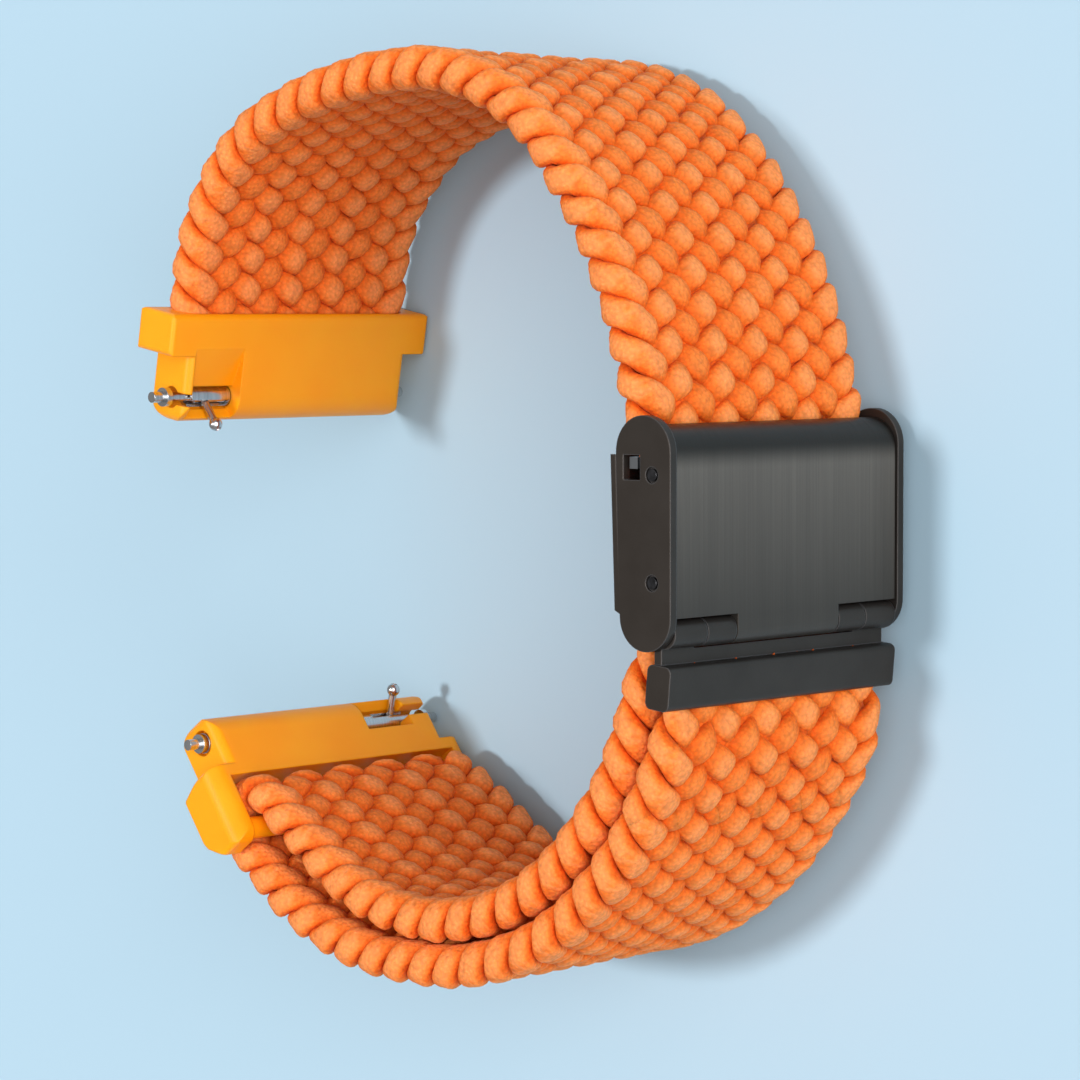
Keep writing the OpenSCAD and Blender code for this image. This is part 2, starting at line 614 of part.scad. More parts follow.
// Spring of the catch: a strip behind the cover with a leg down each side of
// the strap, which passes the guide pin and has a nib in the cheek's window
module catch_spring() color(steel) placed() {
    x0 = guide_upper + guide_r + 0.15;
    nib_x = x0 - 0.2;
    nib_y = window_depth - 0.25;
    leg_z = cheek_in - 0.1 - catch_t;
    translate([x0, cover_back, -leg_z - catch_t]) cube([cover_bend - x0, catch_t, 2 * (leg_z + catch_t)]);
    both_sides() {
        slab(leg_z, leg_z + catch_t) polygon([[x0, cover_back], [cover_bend, cover_back],
            [cover_bend, nib_y + 0.7], [nib_x, nib_y + 0.7], [nib_x, nib_y], [x0, nib_y - 0.7]]);
        translate([nib_x, nib_y, leg_z]) cube([cover_bend - nib_x, 0.7, cheek_in + nib_l - leg_z]);
    }
}

// End bar: a folded channel that holds the strap's end, with a leaf up to
// the knuckles at its ends
leaf_y = hinge_y + 0.25;
leaf_clear = knuckle_r + 0.12;
module end_bar() color(black_steel) placed() difference() {
    union() {
        at(end_at) wide(end_w) round_rect(-end_h / 2, end_h / 2, -end_d / 2, end_d / 2, end_r, end_r);
        both_sides() hinge_at() rod(knuckle_r, knuckle_z + knuckle_gap / 2, cheek_in - knuckle_gap / 2);
        both_sides() slab(knuckle_z + knuckle_gap / 2, cheek_in - knuckle_gap / 2) leaf_outline(hinge_x);
        wide(2 * cheek_in - knuckle_gap) leaf_outline(hinge_x - leaf_clear);
    }
    hinge_at() rod(hinge_r + pin_clear, -buckle_w, buckle_w);
    at(end_at) translate([end_wall - end_h / 2 - 0.1, -crimp_t / 2, -crimp_w / 2 - 0.1])
        cube([end_h, crimp_t, crimp_w + 0.2]);
}
module leaf_outline(x) translate([end_x, leaf_y]) square([x - end_x, leaf_t]);

strap_band();
strap_tail();
upper_lug();
upper_barrel();
upper_fixed_tip();
upper_plunger();
upper_lever();
upper_spring();
lower_lug();
lower_barrel();
lower_fixed_tip();
lower_plunger();
lower_lever();
lower_spring();
buckle_frame();
upper_guide_pin();
lower_guide_pin();
hinge_pin();
near_bush();
far_bush();
buckle_cover();
clamp_pad();
catch_spring();
end_bar();
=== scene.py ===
import bpy
import numpy as np
from mathutils import Matrix, Vector


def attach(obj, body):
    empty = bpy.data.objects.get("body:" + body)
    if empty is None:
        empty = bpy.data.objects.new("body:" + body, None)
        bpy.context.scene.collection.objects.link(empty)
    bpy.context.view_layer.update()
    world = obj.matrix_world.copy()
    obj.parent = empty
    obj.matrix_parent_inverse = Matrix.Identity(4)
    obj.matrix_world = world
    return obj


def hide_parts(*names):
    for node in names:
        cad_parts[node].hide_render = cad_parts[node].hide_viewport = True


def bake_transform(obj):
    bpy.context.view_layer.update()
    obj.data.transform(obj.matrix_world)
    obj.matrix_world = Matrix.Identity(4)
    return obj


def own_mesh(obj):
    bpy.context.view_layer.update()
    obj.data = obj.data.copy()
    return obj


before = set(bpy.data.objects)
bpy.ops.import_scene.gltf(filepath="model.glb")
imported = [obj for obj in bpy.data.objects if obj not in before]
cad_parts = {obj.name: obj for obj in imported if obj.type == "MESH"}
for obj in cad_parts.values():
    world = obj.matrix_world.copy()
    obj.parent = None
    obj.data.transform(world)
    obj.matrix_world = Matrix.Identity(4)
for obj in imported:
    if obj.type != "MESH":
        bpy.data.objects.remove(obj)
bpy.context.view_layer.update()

# The strap's run: one length of braid. It leaves the upper lug's moulding, goes
# over the crown and down through the buckle, turns round the lower lug's bar and
# comes back outside itself to the end bar. In mm, x up the loop, y to the watch.
RUN_IN_FRAME = np.array([-0.8414, -26.30585, 12.75])
RUN_START = (1.5, 3.3)
UPPER_LUG_RUN = 2.6
INTO_UPPER_LUG = 2.0
BELOW_BUCKLE = 4.5
HEEL_R, HEEL_A = 25, 50
SOLE_R, SOLE_A = 20, 40
TOE_R, TOE_A = 18, 33
LUG_RUN = 6.9
LUG_TURN_R = 2.35
LAYER_PITCH = 3.2
HEEL_END_A = 15.5
LAYERS_PART = (2 * LUG_TURN_R - LAYER_PITCH) / np.sin(np.radians(TOE_A))
BAR_RUN = LUG_RUN - LAYERS_PART * np.cos(np.radians(TOE_A))
CROWN_RUNS = [(37, 40), (18, 50), (40, 20), (15, 60), (UPPER_LUG_RUN + INTO_UPPER_LUG,)]
RETURN_RUNS = [(BELOW_BUCKLE,), (HEEL_R, -HEEL_A), (SOLE_R, -SOLE_A), (TOE_R, -TOE_A),
               (LUG_RUN,), (LUG_TURN_R, 180), (BAR_RUN,),
               (TOE_R + LAYER_PITCH, TOE_A), (LAYERS_PART,), (SOLE_R + LAYER_PITCH, SOLE_A),
               (HEEL_R + LAYER_PITCH, HEEL_A - HEEL_END_A)]
LUG_BAR = np.array([-22.14, 41.96])
LUG_BAR_REACH = 2.5
END_BAR_LOW = np.array([-10.44, 1.58])
END_BAR_TOP = np.array([-8.25, 1.39])
END_BAR_POINTS = 40
END_BAR_GAP = 0.02
TAIL_X = -17.7
TAIL_BEND_X = -14.2
STEP = 0.05
LAST_STEPS = 130
RETURN_STEPS = 200


def walk(at, runs):
    """Points each step along straights (length,) and bends (radius, angle), from at, (x, y, heading)."""
    x, y, heading = at[0], at[1], np.radians(at[2])
    points = [(x, y)]
    for run in runs:
        length = run[0] if len(run) == 1 else run[0] * abs(np.radians(run[1]))
        turn = 0 if len(run) == 1 else np.radians(run[1]) / length
        count = max(1, round(length / STEP))
        for _ in range(count):
            heading += turn * length / count / 2
            x += np.cos(heading) * length / count
            y += np.sin(heading) * length / count
            heading += turn * length / count / 2
            points.append((x, y))
    return points


def ease(t):
    """A smooth rise from 0 to 1 while t goes from 0 to 1."""
    t = np.clip(t, 0, 1)
    return t * t * (3 - 2 * t)


def lengths(points):
    """How far along a line of points each of them lies."""
    return np.concatenate([[0], np.cumsum(np.linalg.norm(np.diff(points, axis=0), axis=1))])


line = np.array(walk((*RUN_START, 0), CROWN_RUNS)[::-1] + walk((*RUN_START, 180), RETURN_RUNS)[1:])
last = np.arange(len(line)) > len(line) - LAST_STEPS
bend_in = np.where(last, ease((line[:, 0] - TAIL_BEND_X) / (END_BAR_LOW[0] - TAIL_BEND_X)), 0)
line[:, 1] += bend_in * (END_BAR_LOW[1] - np.interp(END_BAR_LOW[0], line[last, 0], line[last, 1]))
line = line[~last | (line[:, 0] < END_BAR_LOW[0] - END_BAR_GAP)]
line = np.vstack([line, np.linspace(END_BAR_LOW, END_BAR_TOP, END_BAR_POINTS)])
along = lengths(line)
heading = np.unwrap(np.arctan2(np.gradient(line[:, 1], along), np.gradient(line[:, 0], along)))
turn_at = along[np.hypot(*(line - LUG_BAR).T) < LUG_BAR_REACH].mean()
tail_at = np.interp(TAIL_X, line[-RETURN_STEPS:, 0], along[-RETURN_STEPS:])

# The braid: eleven flat nylon cords in a plain flat braid. Each cord runs
# slantwise across the strap, over one and under the next, and folds round the
# strap's edge to run back, which gives the edges their long slanting turns.
# FOLD_REACH, WAIST_FROM and TAUT_FROM count crossings from the nearest fold.
CORDS = 11
COLUMN = 2.14
ROW = 1.24
RINGS_PER_ROW = 6
CORD_W = 2.2
CORD_T = 1.36
SIDES = 16
SQUARISH = 0.8
WAIST, WAIST_FROM = 0.07, 0.8
CREST = 0.84
CREST_FLAT = 1.5
TAUT, TAUT_FROM = 0.8, 1.5
EDGE_ROUND = 0.58
FOLD_SLIM = 0.14
FOLD_REACH = 1.2
# Painted light: beyond EDGE_Z from the middle, over EDGE_FADE, the cords are painted lighter where they fold
# round the strap's edges, and their narrow sides get a smaller share of it.
EDGE_Z = 9.9
EDGE_FADE = 1.1
EDGE_SIDE_LIGHT = 0.6
DRIFT_OUT = 0.5
CORE_T, CORE_W = 1.4, 19.2
# The core's low lift makes the colour ramp paint it deep orange, as painted shade between the cords.
CORE_SHADE_LIFT = 0.3
ACROSS = np.array([0, 0, 1.0])
# Where the braid is held, and the shares of its thickness and width that it loses there
BUCKLE_TOP_X, BUCKLE_LOW_X, BUCKLE_FADE, BUCKLE_Y = 6.5, -6.8, 2.5, 6.2
LUG_BAR_HOLD, LUG_BAR_FADE = 8.0, 5
MOULDING_END, MOULDING_FADE = 3.2, 1.5
END_BAR_X, END_BAR_FADE = -13.2, 2.6
IN_BUCKLE = (0.42, 0.05)
ROUND_LUG_BAR = (0.1, 0.012)
IN_MOULDING = (0.1, 0.02)
IN_END_BAR = (0.64, 0.045)


def run_at(s):
    """The middle of the strap at stations s, and the way out of its face there."""
    x, y = np.interp(s, along, line[:, 0]), np.interp(s, along, line[:, 1])
    turned = np.interp(s, along, heading)
    return np.stack([x, y, 0 * s], 1), np.stack([-np.sin(turned), np.cos(turned), 0 * s], 1)


def squeeze(s, middle):
    """The braid's thickness and width at stations s, as shares of those where nothing holds it."""
    x, y = middle[:, 0], middle[:, 1]
    buckle = ease(1 - np.maximum(x - BUCKLE_TOP_X, BUCKLE_LOW_X - x) / BUCKLE_FADE)
    holds = [(buckle * (y < BUCKLE_Y) * (s < turn_at), IN_BUCKLE),
             (ease((LUG_BAR_HOLD - np.abs(s - turn_at)) / LUG_BAR_FADE), ROUND_LUG_BAR),
             (ease((MOULDING_END - s) / MOULDING_FADE), IN_MOULDING),
             (ease((x - END_BAR_X) / END_BAR_FADE) * (s > turn_at), IN_END_BAR)]
    return [1 - sum(held * lost[i] for held, lost in holds) for i in (0, 1)]


def squarish(wave):
    """A sine or cosine made a little squarer, for a cord pressed by its neighbours."""
    return np.sign(wave) * np.abs(wave) ** SQUARISH


def cord_rings(k, s, sways):
    """Rings of points round cord k at stations s, and each point's (turn, length, lift)."""
    middle, out = run_at(s)
    flat, narrow = squeeze(s, middle)
    # Each lap takes the cord across the strap once. near counts the cords that
    # it has crossed since the last fold, and far those before the next one.
    crossing = s / ROW + 2 * k
    lap = np.floor(crossing / CORDS).astype(int)
    side = np.where(lap % 2 == 0, 1, -1)
    near = crossing - lap * CORDS
    far = CORDS - near
    edge = np.minimum(near, far)
    reach = np.where(near < far, np.hypot(near, EDGE_ROUND), CORDS - np.hypot(far, EDGE_ROUND))
    z = side * COLUMN * (CORDS / 2 - reach)
    # Over one cord and under the next, and level in the folds
    over = np.where(near < 1, np.sin(np.pi * near / 2),
                    np.where(far < 1, -np.sin(np.pi * far / 2), -np.cos(np.pi * near)))
    h = np.tanh(CREST_FLAT * over) / np.tanh(CREST_FLAT) * CREST
    h *= np.where((lap % 2 == 0) & (edge > TAUT_FROM), TAUT, 1)
    drift = sum(size * np.sin(pace * crossing[:, None] + phase) for size, pace, phase in sways)
    h, z = h + DRIFT_OUT * drift[:, 0] * flat, z + drift[:, 1]
    place = middle + out * (h * flat)[:, None] + ACROSS * (z * narrow)[:, None]
    # The cord's flat side faces out of the strap, and out of its edge in a fold
    run = np.gradient(place, axis=0)
    run /= np.linalg.norm(run, axis=1)[:, None]
    fold = np.pi / 2 * (1 - ease(edge))
    thick = out * (side * np.cos(fold))[:, None] + ACROSS * np.sin(fold)[:, None]
    thick -= run * (thick * run).sum(1)[:, None]
    thick /= np.linalg.norm(thick, axis=1)[:, None]
    wide = np.cross(run, thick)
    bulge = 1 - WAIST * np.sin(np.pi * near) ** 2 * (edge > WAIST_FROM)
    plump = (1 + drift[:, 0]) * (1 - FOLD_SLIM * (1 - ease(edge / FOLD_REACH)))
    w, t = CORD_W / 2 * bulge * plump, CORD_T / 2 * (1 + bulge) / 2
    round_it = 2 * np.pi * np.arange(SIDES) / SIDES
    offset = (wide[:, None] * (w[:, None] * squarish(np.cos(round_it)))[:, :, None]
              + thick[:, None] * (t[:, None] * squarish(np.sin(round_it)))[:, :, None])
    # How far each point stands out, for its painted shade: points near the strap's mid-plane, in the
    # crevices, are painted darker
    lift_h = np.abs((offset * out[:, None]).sum(2) + h[:, None]) / (CREST + CORD_T / 2)
    # Painted light on the folds at the strap's edges
    lift_z = ease((np.abs(offset[:, :, 2] + z[:, None]) - EDGE_Z) / EDGE_FADE)
    lift_z *= EDGE_SIDE_LIGHT + (1 - EDGE_SIDE_LIGHT) * np.abs(np.sin(round_it))
    offset += out[:, None] * ((offset * out[:, None]).sum(2) * (flat[:, None] - 1))[:, :, None]
    offset[:, :, 2] *= narrow[:, None]
    lift = np.clip(np.maximum(lift_h, lift_z), 0, 1)
    at = np.stack([np.broadcast_to(np.arange(SIDES) / SIDES, lift.shape),
                   np.broadcast_to(lengths(place)[:, None], lift.shape), lift], 2)
    return place[:, None] + offset, at


def core_rings(s):
    """The flat elastic core that closes the small gaps between the cords."""
    middle, out = run_at(s)
    flat, narrow = squeeze(s, middle)
    corners = [(CORE_T / 2, CORE_W / 2), (CORE_T / 2, -CORE_W / 2),
               (-CORE_T / 2, -CORE_W / 2), (-CORE_T / 2, CORE_W / 2)]
    rings = np.stack([middle + out * (h * flat)[:, None] + ACROSS * (z * narrow)[:, None]
                      for h, z in corners], 1)
    # Its low lift paints it deep orange, as painted shade between the cords.
    return rings, np.full(rings.shape, CORE_SHADE_LIFT)


def tube_mesh(name, tubes):
    """Closed tubes, each a grid of rings with its (turn, length, lift) values, as one mesh."""
    points, marks, faces, start = [], [], [], 0
    for rings, at in tubes:
        n, m = rings.shape[:2]
        points.append(rings.reshape(-1, 3))
        marks.append(at.reshape(-1, 3))
        i, j = np.meshgrid(np.arange(n - 1), np.arange(m), indexing="ij")
        k = (j + 1) % m
        quads = np.stack([i * m + j, i * m + k, (i + 1) * m + k, (i + 1) * m + j], 2).reshape(-1, 4) + start
        faces += quads.tolist()
        faces.append((start + np.arange(m)[::-1]).tolist())
        faces.append((start + (n - 1) * m + np.arange(m)).tolist())
        start += n * m
    mesh = bpy.data.meshes.new(name)
    mesh.from_pydata(((np.vstack(points) + RUN_IN_FRAME) / 1000).tolist(), [], faces)
    mesh.polygons.foreach_set("use_smooth", [True] * len(mesh.polygons))
    at_cord = mesh.attributes.new("cord_at", "FLOAT_VECTOR", "POINT")
    at_cord.data.foreach_set("vector", np.vstack(marks).ravel())
    mesh.update()
    piece = bpy.data.objects.new(name, mesh)
    bpy.context.scene.collection.objects.link(piece)
    return piece


chance = np.random.default_rng(11)
stations = np.arange(0, along[-1], ROW / RINGS_PER_ROW)
cut = int(np.searchsorted(stations, tail_at))
body_tubes, tail_tubes = [], []
for k in range(CORDS):
    sizes = chance.uniform(0.02, 0.05, (3, 2))
    paces = chance.uniform(0.5, 3.4, (3, 1))
    phases = chance.uniform(0, 6.3, (3, 2))
    rings, at = cord_rings(k, stations, list(zip(sizes, paces, phases)))
    body_tubes.append((rings[:cut + 1], at[:cut + 1]))
    tail_tubes.append((rings[cut:], at[cut:]))
rings, at = core_rings(stations)
body_tubes.append((rings[:cut + 1:2], at[:cut + 1:2]))
tail_tubes.append((rings[cut - cut % 2::2], at[cut - cut % 2::2]))


# The cord's finish: orange nylon. Each cord is itself a fine tubular braid, so
# its skin has small stitches and crossing ribs, and its colour is painted deeper
# where the cords dive under each other, as painted shade in the crevices.
def srgb(code):
    """Linear colour of a written one such as "#f08040"."""
    parts = [int(code[i:i + 2], 16) / 255 for i in (1, 3, 5)]
    return [p / 12.92 if p <= 0.04045 else ((p + 0.055) / 1.055) ** 2.4 for p in parts] + [1]


def finish(name, colour, roughness, metallic=0.0, **sockets):
    """A new material and its shader. Values such as Sheen_Weight are set on the shader itself."""
    mat = bpy.data.materials.new(name)
    mat.use_nodes = True
    shader = mat.node_tree.nodes["Principled BSDF"]
    shader.inputs["Base Color"].default_value = srgb(colour)
    shader.inputs["Roughness"].default_value = roughness
    shader.inputs["Metallic"].default_value = metallic
    for socket, value in sockets.items():
        shader.inputs[socket.replace("_", " ")].default_value = value
    return mat, shader


def add(mat, kind, wires=(), **settings):
    """A node in mat's tree. wires are (input, socket or value) pairs."""
    made = mat.node_tree.nodes.new("ShaderNode" + kind)
    for name, value in settings.items():
        setattr(made, name, value)
    for at, value in wires:
        if isinstance(value, bpy.types.NodeSocket):
            mat.node_tree.links.new(value, made.inputs[at])
        else:
            made.inputs[at].default_value = value
    return made


def calc(mat, operation, *values, **settings):
    """The result of one sum on sockets or numbers."""
    return add(mat, "Math", list(enumerate(values)), operation=operation, **settings).outputs[0]


def noise(mat, at, scale, detail):
    """Soft random spots, so many to the metre, at the points at."""
    return add(mat, "TexNoise", [("Vector", at), ("Scale", scale), ("Detail", detail)]).outputs["Fac"]


def ramp(mat, value, *stops):
    """Colours by value, from (place, colour) stops."""
    made = add(mat, "ValToRGB", [("Fac", value)])
    while len(made.color_ramp.elements) < len(stops):
        made.color_ramp.elements.new(0.5)
    for element, (place, colour) in zip(made.color_ramp.elements, stops):
        element.position, element.color = place, srgb(colour)
    return made.outputs["Color"]


def scaled(mat, colour, factor):
    """A colour made lighter or darker by a factor."""
    return add(mat, "VectorMath", [(0, colour), (3, factor)], operation="SCALE").outputs[0]


def wire(mat, value, shader, socket):
    """Joins a socket to one of the shader's."""
    mat.node_tree.links.new(value, shader.inputs[socket])


STITCH = 0.42
WALES, WALE_SWAY = 12, 1.9
STITCH_SHIFT = 0.6
BEAD_TOP = 0.95
# Ribs and stitch beads are painted lighter where they stand up and darker between them, as painted shade on
# their relief; the patches are tone that differs at random.
RIB_SHADE, PATCH_TONE, BEAD_SHADE, LEAST_TONE = 0.03, 0.2, 0.45, 0.64
RIB_RELIEF = 0.12
braid, braid_skin = finish("orange nylon cord", "#ef7c3a", 0.72, Sheen_Weight=0.12, Sheen_Roughness=0.4,
                           Sheen_Tint=srgb("#ffb080"), Specular_IOR_Level=0.15, Subsurface_Weight=0.3,
                           Subsurface_Radius=(1.0, 0.4, 0.12), Subsurface_Scale=0.0005)
parts = add(braid, "SeparateXYZ", [(0, add(braid, "Attribute", attribute_name="cord_at").outputs["Vector"])])
turn, length, lift = (parts.outputs[i] for i in range(3))
where = add(braid, "TexCoord").outputs["Object"]
beads = add(braid, "TexVoronoi", [("Vector", where), ("Scale", 3400.0), ("Smoothness", 0.5)],
            feature="SMOOTH_F1").outputs["Distance"]
fuzz = calc(braid, "SUBTRACT", BEAD_TOP, beads)
wales = calc(braid, "SINE", calc(braid, "MULTIPLY", turn, 2 * np.pi * WALES))
courses = calc(braid, "ADD", length, calc(braid, "MULTIPLY", fuzz, STITCH_SHIFT))
courses = calc(braid, "MULTIPLY", courses, 2 * np.pi / STITCH)
ribs = calc(braid, "SINE", calc(braid, "ADD", courses, calc(braid, "MULTIPLY", wales, WALE_SWAY)))
# Painted shade on the ribs and beads, with random patches of tone
tone_and_shade = calc(braid, "MULTIPLY", ribs, RIB_SHADE)
tone_and_shade = calc(braid, "ADD", tone_and_shade, calc(braid, "MULTIPLY", noise(braid, where, 420.0, 2.0), PATCH_TONE))
tone_and_shade = calc(braid, "ADD", tone_and_shade, calc(braid, "MULTIPLY", fuzz, BEAD_SHADE))
tone_and_shade = calc(braid, "ADD", tone_and_shade, LEAST_TONE)
# Painted shade: the orange is deepest where lift is low, down in the crevices, and palest on the crests.
crevice_shade_colour = ramp(braid, lift, (0.0, "#d9500a"), (0.5, "#e45e12"), (0.72, "#ec6e20"),
                    (0.86, "#f28036"), (0.97, "#f6904e"))
wire(braid, scaled(braid, crevice_shade_colour, tone_and_shade), braid_skin, "Base Color")
grain = calc(braid, "ADD", calc(braid, "MULTIPLY", ribs, RIB_RELIEF), fuzz)
bump = add(braid, "Bump", [("Strength", 0.4), ("Distance", 0.00016), ("Height", grain)])
wire(braid, bump.outputs[0], braid_skin, "Normal")

strap = tube_mesh("braided_strap", body_tubes)
strap.data.materials.append(braid)
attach(strap, "strap")
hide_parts("strap_band")

# The strap's last stretch, pressed flat in the end bar. On the real strap it bends where
# the end bar swings out on its hinge, following the strap below and the bar above; here it is one mesh with
# its transform baked in.
strap_tail = tube_mesh("braided_tail", tail_tubes)
strap_tail.data.materials.append(braid)
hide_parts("strap_tail")
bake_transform(strap_tail)


# The lugs: injection-moulded plastic, dyed yellow-orange, with soft edges and
# the faint grain of the mould. The upper one is moulded onto the strap's end.
def dress(mat, *nodes):
    """Gives CAD nodes their finish."""
    for name in nodes:
        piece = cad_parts[name]
        piece.data.materials.clear()
        piece.data.materials.append(mat)


def round_edges(mat, shader, radius, height=None, strength=0.2, distance=0.00003):
    """Softens a solid's sharp edges as its maker's mould or tumbling does, under an optional grain."""
    edge = add(mat, "Bevel", [("Radius", radius)], samples=6).outputs[0]
    skin = edge
    if height is not None:
        skin = add(mat, "Bump", [("Strength", strength), ("Distance", distance), ("Height", height),
                                 ("Normal", edge)]).outputs[0]
    wire(mat, skin, shader, "Normal")
    return edge


plastic, plastic_skin = finish("yellow moulded plastic", "#ffa024", 0.4, Specular_IOR_Level=0.25,
                               Subsurface_Weight=0.25, Subsurface_Radius=(1.0, 0.45, 0.12),
                               Subsurface_Scale=0.0012)
where = add(plastic, "TexCoord").outputs["Object"]
mould_grain = noise(plastic, where, 2600.0, 3.0)
tint = ramp(plastic, noise(plastic, where, 160.0, 2.0), (0.3, "#ff9c08"), (0.7, "#ffa514"))
wire(plastic, tint, plastic_skin, "Base Color")
round_edges(plastic, plastic_skin, 0.00022, mould_grain, 0.12)
dress(plastic, "upper_lug", "lower_lug")

# The quick-release spring bars: turned stainless steel. A slotted barrel holds
# a fixed tip and a sprung plunger, whose lever a fingernail pulls back.
steel, steel_skin = finish("turned stainless steel", "#d4d6d8", 0.24, 1.0)
where = add(steel, "TexCoord").outputs["Object"]
lathe = add(steel, "Mapping", [("Vector", where), ("Scale", (300.0, 300.0, 16000.0))]).outputs[0]
lathe_marks = noise(steel, lathe, 1.0, 2.0)
wire(steel, ramp(steel, lathe_marks, (0.3, "#b4b6b8"), (0.7, "#e0e2e4")), steel_skin, "Base Color")
round_edges(steel, steel_skin, 0.00006, lathe_marks, 0.15, 0.00001)
for end in ("upper_", "lower_"):
    dress(steel, *(end + piece for piece in ("barrel", "fixed_tip", "plunger", "lever")))

# The springs: drawn steel wire, coiled in the barrels behind the plungers, and
# a bent leaf for the cover's catch. On the real bar a coil gets shorter, towards
# its fixed tip, as its plunger slides in; here each coil is a copy on its own
# mesh, attached to its body.
spring_wire, _ = finish("drawn spring wire", "#8e9296", 0.3, 1.0)
dress(spring_wire, "upper_spring", "lower_spring", "catch_spring")
for end, body, foot in (("upper", "strap", 0), ("lower", "swivel_lug", 1)):
    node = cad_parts[end + "_spring"]
    coil = bpy.data.objects.new(end + "_coil_spring", node.data.copy())
    coil.matrix_world = node.matrix_world.copy()
    bpy.context.scene.collection.objects.link(coil)
    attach(coil, body)
    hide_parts(end + "_spring")
    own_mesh(coil)

# The buckle's frame, end bar and bushes: stamped and folded steel under a
# satin black coat, a little thinner and brighter along the edges.
WARM_SHINE = srgb("#ffe8d4")
EDGE_WEAR = 3.0
coat, coat_skin = finish("satin black coat", "#2b2826", 0.42, Specular_IOR_Level=0.35,
                         Specular_Tint=WARM_SHINE)
where = add(coat, "TexCoord").outputs["Object"]
edge = round_edges(coat, coat_skin, 0.00014, noise(coat, where, 5200.0, 4.0), 0.25, 0.00002)
face = add(coat, "NewGeometry").outputs["Normal"]
flatness = add(coat, "VectorMath", [(0, edge), (1, face)], operation="DOT_PRODUCT").outputs["Value"]
edge_wear = calc(coat, "MULTIPLY", calc(coat, "SUBTRACT", 1.0, flatness), EDGE_WEAR, use_clamp=True)
base = ramp(coat, noise(coat, where, 330.0, 3.0), (0.3, "#221f1d"), (0.7, "#292624"))
worn = add(coat, "Mix", [("Factor", edge_wear), (6, base), (7, srgb("#5c5c5f"))], data_type="RGBA").outputs[2]
wire(coat, worn, coat_skin, "Base Color")
dress(coat, "buckle_frame", "end_bar", "near_bush", "far_bush")

# The guide pins and the hinge's pin: blackened steel rod, pressed into the
# cheeks, where the guide pins' ends show.
pin_black, pin_skin = finish("blackened pin", "#353538", 0.3, 0.9)
where = add(pin_black, "TexCoord").outputs["Object"]
pin_tint = ramp(pin_black, noise(pin_black, where, 2400.0, 3.0), (0.3, "#2a2a2c"), (0.7, "#48484b"))
wire(pin_black, pin_tint, pin_skin, "Base Color")
round_edges(pin_black, pin_skin, 0.0001)
dress(pin_black, "upper_guide_pin", "lower_guide_pin", "hinge_pin")

# The cover: a plate rolled over at the top and round the hinge pin below. It is
# brushed along the strap before the black coat goes on. Its colour is painted
# palest just under the upper roll and darker downwards, as a painted reflection,
# and darkest in the roll, as painted shade.
STROKE_TONE, BAND_TONE = 0.6, 0.4
STROKE_ROUGH, LEAST_ROUGH = 0.25, 0.25
# Height limits of the roll's painted shade and of the plate's painted reflection
ROLL_FROM_X, ROLL_TO_X, ROLL_SHADE = 0.0040, 0.0056, 0.08
FADE_FROM_X, FADE_TO_X, FADE_LOW, FADE_HIGH = -0.0055, 0.0042, 0.4, 1.1
brushed, brushed_skin = finish("brushed black coat", "#4a4642", 0.36, Specular_IOR_Level=0.35,
                               Specular_Tint=WARM_SHINE)
where = add(brushed, "TexCoord").outputs["Object"]
height = add(brushed, "SeparateXYZ", [(0, where)]).outputs[0]
# Painted shade in the upper roll
painted_roll_shade = add(brushed, "MapRange", [(0, height), (1, ROLL_FROM_X), (2, ROLL_TO_X), (3, 1.0), (4, ROLL_SHADE)],
             interpolation_type="SMOOTHSTEP").outputs[0]
# Painted reflection: palest just under the roll, darker downwards
painted_reflection_fade = add(brushed, "MapRange", [(0, height), (1, FADE_FROM_X), (2, FADE_TO_X), (3, FADE_LOW),
                                 (4, FADE_HIGH)]).outputs[0]
strokes_at = add(brushed, "Mapping", [("Vector", where), ("Scale", (70.0, 900.0, 9000.0))]).outputs[0]
strokes = noise(brushed, strokes_at, 1.0, 3.0)
bands_at = add(brushed, "Mapping", [("Vector", where), ("Scale", (60.0, 200.0, 700.0))]).outputs[0]
bands = noise(brushed, bands_at, 1.0, 2.0)
stroke_mix = calc(brushed, "ADD", calc(brushed, "MULTIPLY", strokes, STROKE_TONE),
                  calc(brushed, "MULTIPLY", bands, BAND_TONE))
cover_colour = ramp(brushed, stroke_mix, (0.3, "#4a4642"), (0.7, "#57534e"))
# The strokes' tint times the painted shade and painted reflection
cover_colour = scaled(brushed, cover_colour, calc(brushed, "MULTIPLY", painted_roll_shade, painted_reflection_fade))
wire(brushed, cover_colour, brushed_skin, "Base Color")
wire(brushed, calc(brushed, "MULTIPLY_ADD", strokes, STROKE_ROUGH, LEAST_ROUGH), brushed_skin, "Roughness")
round_edges(brushed, brushed_skin, 0.00012, strokes, 0.3, 0.00002)
dress(brushed, "buckle_cover")

# The clamp pad: pressed steel with blunt teeth that hold the braid against the
# guide pins when the cover is shut.
pad, pad_skin = finish("pressed steel pad", "#85888c", 0.4, 0.9)
where = add(pad, "TexCoord").outputs["Object"]
pad_tint = ramp(pad, noise(pad, where, 1800.0, 3.0), (0.3, "#6c6f73"), (0.7, "#94979b"))
wire(pad, pad_tint, pad_skin, "Base Color")
round_edges(pad, pad_skin, 0.0001)
dress(pad, "clamp_pad")

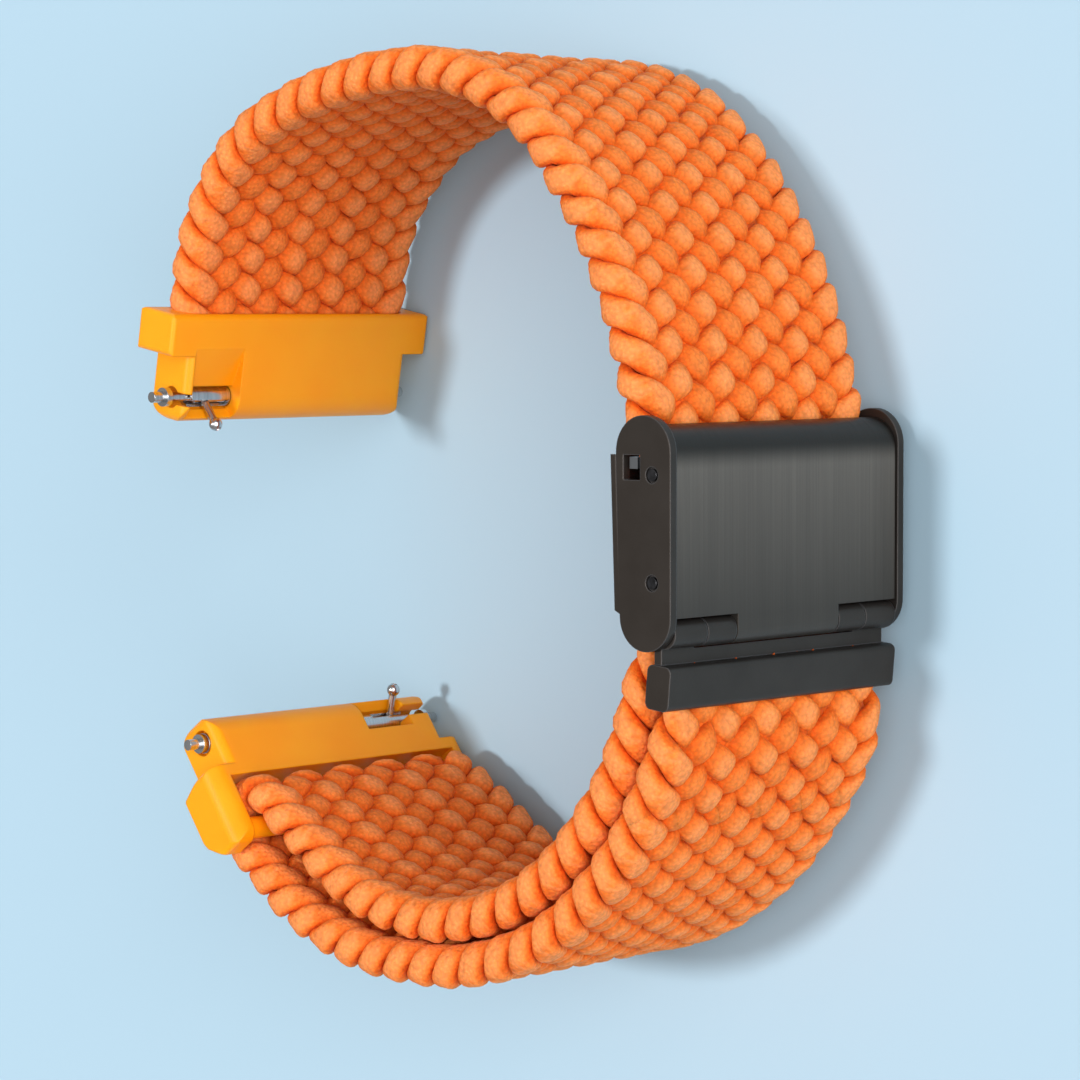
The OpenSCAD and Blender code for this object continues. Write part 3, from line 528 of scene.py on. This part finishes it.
# The floor: a matt sheet of pale blue paper under the strap, which shows nothing
# but its shadow.
FLOOR_HALF = 1.5
FLOOR_Z = -0.0002
floor_mesh = bpy.data.meshes.new("floor")
floor_corners = [(x * FLOOR_HALF, y * FLOOR_HALF, FLOOR_Z) for x, y in ((-1, -1), (1, -1), (1, 1), (-1, 1))]
floor_mesh.from_pydata(floor_corners, [], [(0, 1, 2, 3)])
floor = bpy.data.objects.new("floor", floor_mesh)
bpy.context.scene.collection.objects.link(floor)
sweep, _ = finish("pale blue sweep", "#acc8d9", 0.9, Specular_IOR_Level=0.0)
floor.data.materials.append(sweep)

# The studio: a small key lamp overhead that throws the shadow, a broad lamp low
# in front of the buckle, a weaker one beside the camera and an even pale room.
# The camera stands where the photograph was taken from.
EYE = Vector((0.013869, -0.174926, 0.18822))
RIGHT = Vector((-0.00217, -0.71479, -0.69934)).normalized()
UP = Vector((0.99797, 0.04300, -0.04704)).normalized()
BACK = RIGHT.cross(UP)
for name, strength, width, aim in (("key", 1.8, 0.1, Vector((0.07, 0.1, 1))),
                                   ("front", 1.9, 0.9, Vector((0.1, -1, 0.46))),
                                   ("fill", 0.95, 1.2, BACK)):
    lamp = bpy.data.objects.new(name, bpy.data.lights.new(name, "SUN"))
    lamp.data.energy, lamp.data.angle = strength, width
    lamp.rotation_euler = aim.to_track_quat("Z", "Y").to_euler()
    bpy.context.scene.collection.objects.link(lamp)
room = bpy.data.worlds.new("room")
bpy.context.scene.world = room
room.use_nodes = True
sky = room.node_tree.nodes["Background"]
sky.inputs["Color"].default_value = srgb("#f8f7f5")
sky.inputs["Strength"].default_value = 0.32
backdrop = add(room, "Background", [("Color", srgb("#c3e2f3")), ("Strength", 1.0)])
seen = add(room, "LightPath").outputs["Is Camera Ray"]
pick = add(room, "MixShader", [(0, seen), (1, sky.outputs[0]), (2, backdrop.outputs[0])])
room.node_tree.links.new(pick.outputs[0], room.node_tree.nodes["World Output"].inputs["Surface"])
bpy.context.scene.view_settings.view_transform = "Standard"
camera = bpy.data.objects.new("camera", bpy.data.cameras.new("camera"))
camera.data.sensor_width = 36
camera.data.lens = 116.48
camera.data.clip_start = 0.005
camera.matrix_world = Matrix.Translation(EYE) @ Matrix((RIGHT, UP, BACK)).transposed().to_4x4()
bpy.context.scene.collection.objects.link(camera)
bpy.context.scene.camera = camera
